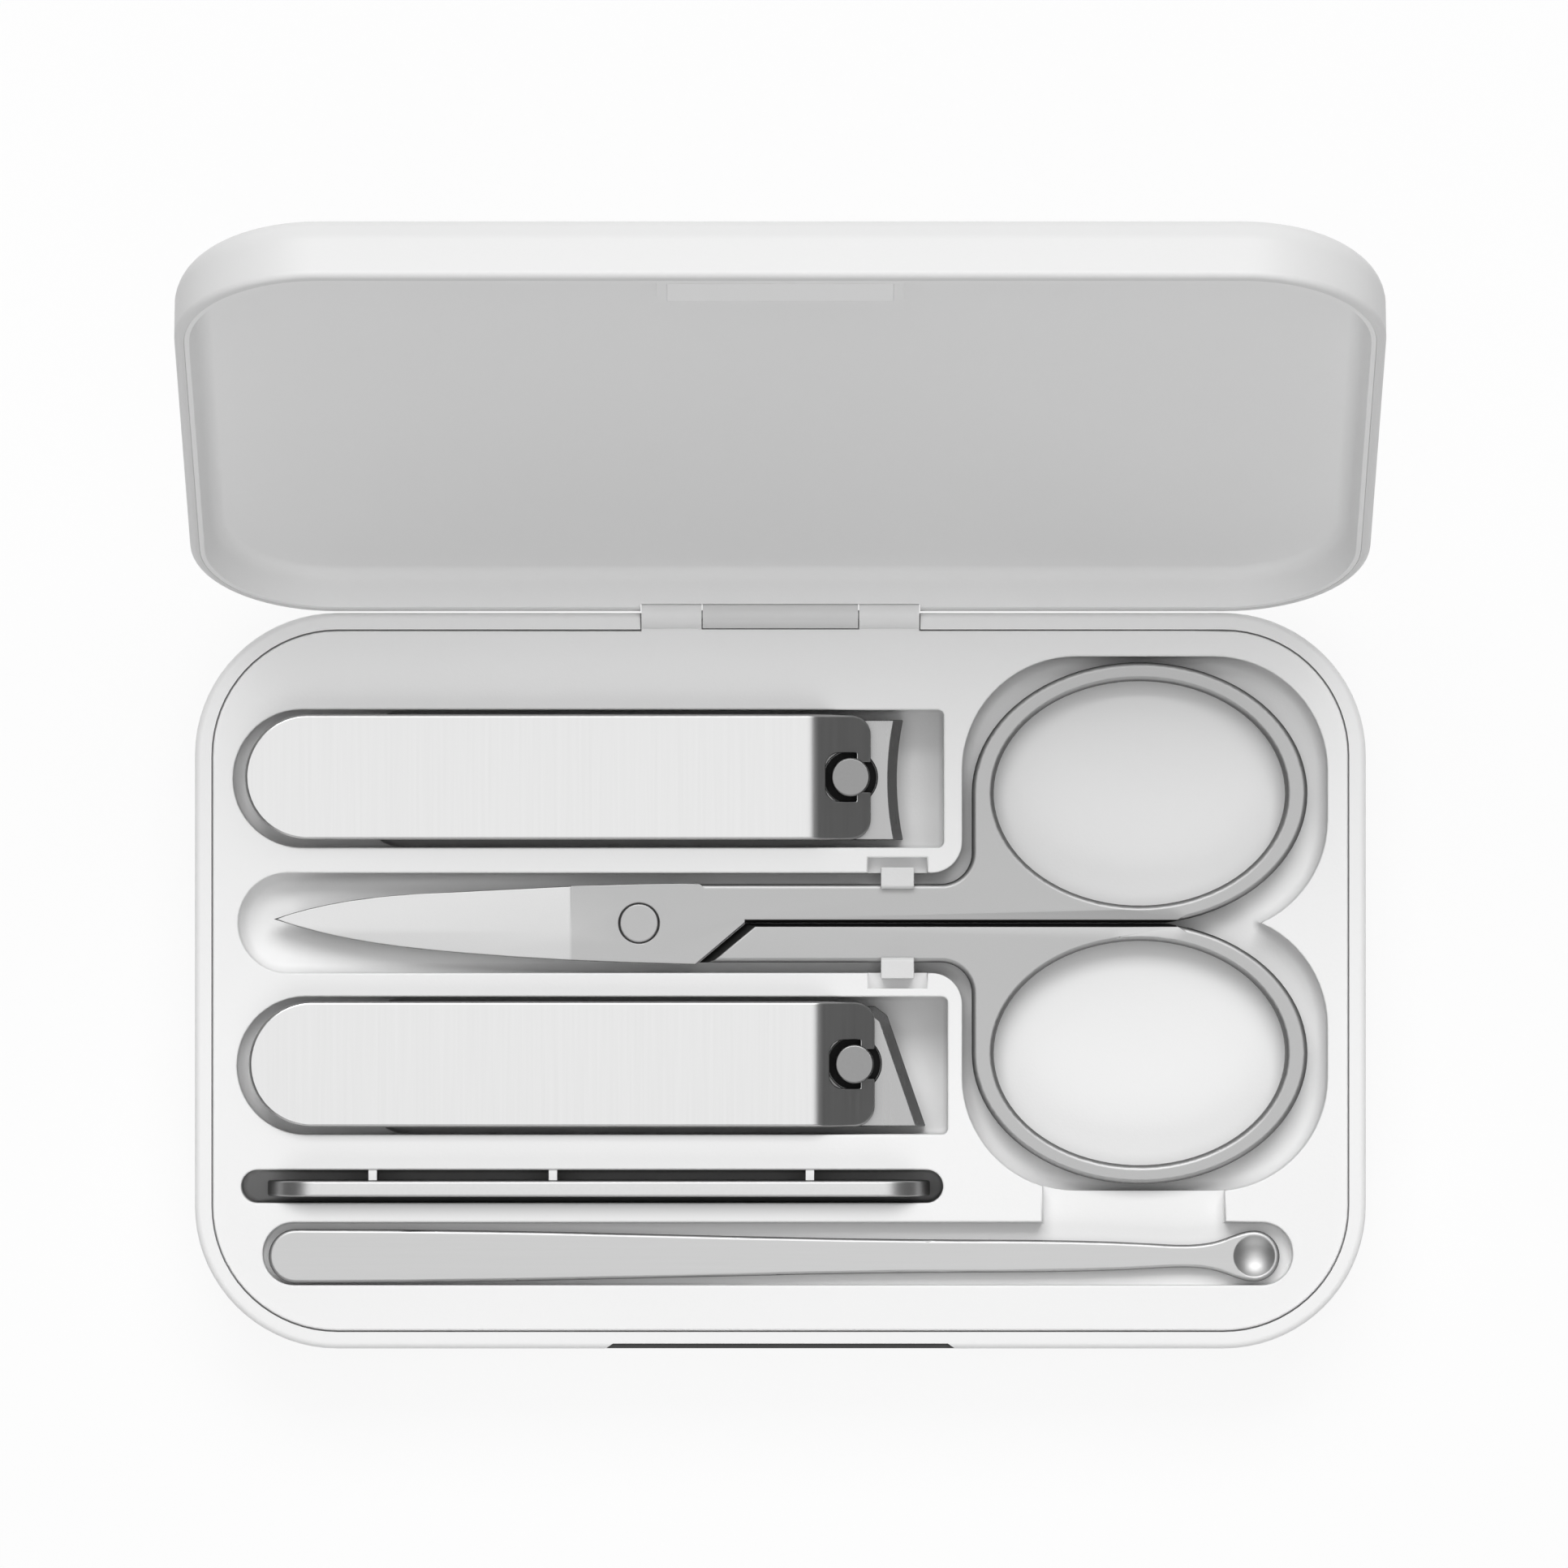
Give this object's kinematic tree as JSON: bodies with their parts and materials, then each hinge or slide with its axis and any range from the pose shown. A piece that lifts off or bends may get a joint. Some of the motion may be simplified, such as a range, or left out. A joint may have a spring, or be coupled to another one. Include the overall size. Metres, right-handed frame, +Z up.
{
  "type": "manicure set case",
  "caption": "Flat hinged plastic case, open, with a moulded tray holding nail clippers, scissors, a nail file and an ear pick.",
  "frame": {"origin": "centre of the base's underside", "axes": "+X along the case's long side, +Y towards the hinge, +Z up; the lid stands open"},
  "size_m": [0.113, 0.1062, 0.0761],
  "materials": {
    "case_plastic": "fine matt white moulding",
    "magnet": "plated",
    "polished_steel": "polished",
    "clipper_steel": "satin brushed",
    "satin_steel": "bead-blasted satin",
    "file_steel": "cross-cut faces, bright edges"
  },
  "bodies": {
    "case": {"base_shell": "case_plastic", "tray_insert": "case_plastic", "base_magnets": "magnet", "hinge_pin": "polished_steel", "back_catch": "case_plastic", "front_catch": "case_plastic"},
    "lid": {"lid_shell": "case_plastic", "lid_liner": "case_plastic", "lid_magnets": "magnet", "lid_magnet_cover": "case_plastic"},
    "back_clipper": {"back_clipper_lower_leaf": "clipper_steel", "back_clipper_rivet": "polished_steel"},
    "back_clipper_upper_jaw": {"back_clipper_upper_leaf": "clipper_steel"},
    "back_clipper_post": {"back_clipper_pin": "polished_steel"},
    "back_clipper_handle": {"back_clipper_lever": "clipper_steel"},
    "front_clipper": {"front_clipper_lower_leaf": "clipper_steel", "front_clipper_rivet": "polished_steel"},
    "front_clipper_upper_jaw": {"front_clipper_upper_leaf": "clipper_steel"},
    "front_clipper_post": {"front_clipper_pin": "polished_steel"},
    "front_clipper_handle": {"front_clipper_lever": "clipper_steel"},
    "scissors": {"scissor_rivet": "satin_steel"},
    "scissor_upper": {"scissor_upper_half": "satin_steel"},
    "scissor_lower": {"scissor_lower_half": "satin_steel"},
    "file": {"nail_file": "file_steel"},
    "pick": {"ear_pick": "satin_steel"}
  },
  "joints": [
    {"name": "lid_hinge", "type": "hinge", "parent": "case", "child": "lid", "pos_m": [0, 0.03525, 0.01235], "axis": [-1, 0, 0], "range_deg": [-115, 0]},
    {"name": "back_clipper_lift", "type": "slide", "parent": "case", "child": "back_clipper", "axis": [0, 0, 1], "range_m": [0, 0.05]},
    {"name": "back_clipper_squeeze", "type": "hinge", "parent": "back_clipper", "child": "back_clipper_upper_jaw", "pos_m": [-0.03523, 0.01965, 0.0057], "axis": [0, 1, 0], "range_deg": [0, 0.8], "stiffness_Nm_per_rad": 1},
    {"name": "back_clipper_swivel", "type": "hinge", "parent": "back_clipper", "child": "back_clipper_post", "pos_m": [0.00677, 0.01965, 0.01121], "axis": [0, 0, 1], "range_deg": [0, 180]},
    {"name": "back_clipper_flip", "type": "hinge", "parent": "back_clipper_post", "child": "back_clipper_handle", "pos_m": [0.00677, 0.01965, 0.01121], "axis": [0, 1, 0], "range_deg": [0, 140]},
    {"name": "front_clipper_lift", "type": "slide", "parent": "case", "child": "front_clipper", "axis": [0, 0, 1], "range_m": [0, 0.075]},
    {"name": "front_clipper_squeeze", "type": "hinge", "parent": "front_clipper", "child": "front_clipper_upper_jaw", "pos_m": [-0.03485, -0.00805, 0.0057], "axis": [0, 1, 0], "range_deg": [0, 0.8], "stiffness_Nm_per_rad": 1},
    {"name": "front_clipper_swivel", "type": "hinge", "parent": "front_clipper", "child": "front_clipper_post", "pos_m": [0.00715, -0.00805, 0.01121], "axis": [0, 0, 1], "range_deg": [0, 180]},
    {"name": "front_clipper_flip", "type": "hinge", "parent": "front_clipper_post", "child": "front_clipper_handle", "pos_m": [0.00715, -0.00805, 0.01121], "axis": [0, 1, 0], "range_deg": [0, 140]},
    {"name": "scissors_lift", "type": "slide", "parent": "case", "child": "scissors", "axis": [0, 0, 1], "range_m": [0, 0.13], "deforming": ["back_catch", "front_catch"]},
    {"name": "scissor_upper_turn", "type": "hinge", "parent": "scissors", "child": "scissor_upper", "pos_m": [-0.01365, 0.00555, 0.0102], "axis": [0, 0, 1], "range_deg": [0, 15]},
    {"name": "scissor_lower_turn", "type": "hinge", "parent": "scissors", "child": "scissor_lower", "pos_m": [-0.01365, 0.00555, 0.0102], "axis": [0, 0, -1], "range_deg": [0, 15]},
    {"name": "file_lift", "type": "slide", "parent": "case", "child": "file", "axis": [0, 0, 1], "range_m": [0, 0.03]},
    {"name": "pick_lift", "type": "slide", "parent": "case", "child": "pick", "axis": [0, 0, 1], "range_m": [0, 0.02]}
  ],
  "couplings": [
    {"joint": "back_clipper_swivel", "follows": "back_clipper_lift", "rad_per_m": 62.83},
    {"joint": "front_clipper_swivel", "follows": "front_clipper_lift", "rad_per_m": 41.88},
    {"joint": "scissor_upper_turn", "follows": "scissors_lift", "rad_per_m": 2.01},
    {"joint": "scissor_lower_turn", "follows": "scissors_lift", "rad_per_m": 2.01}
  ]
}
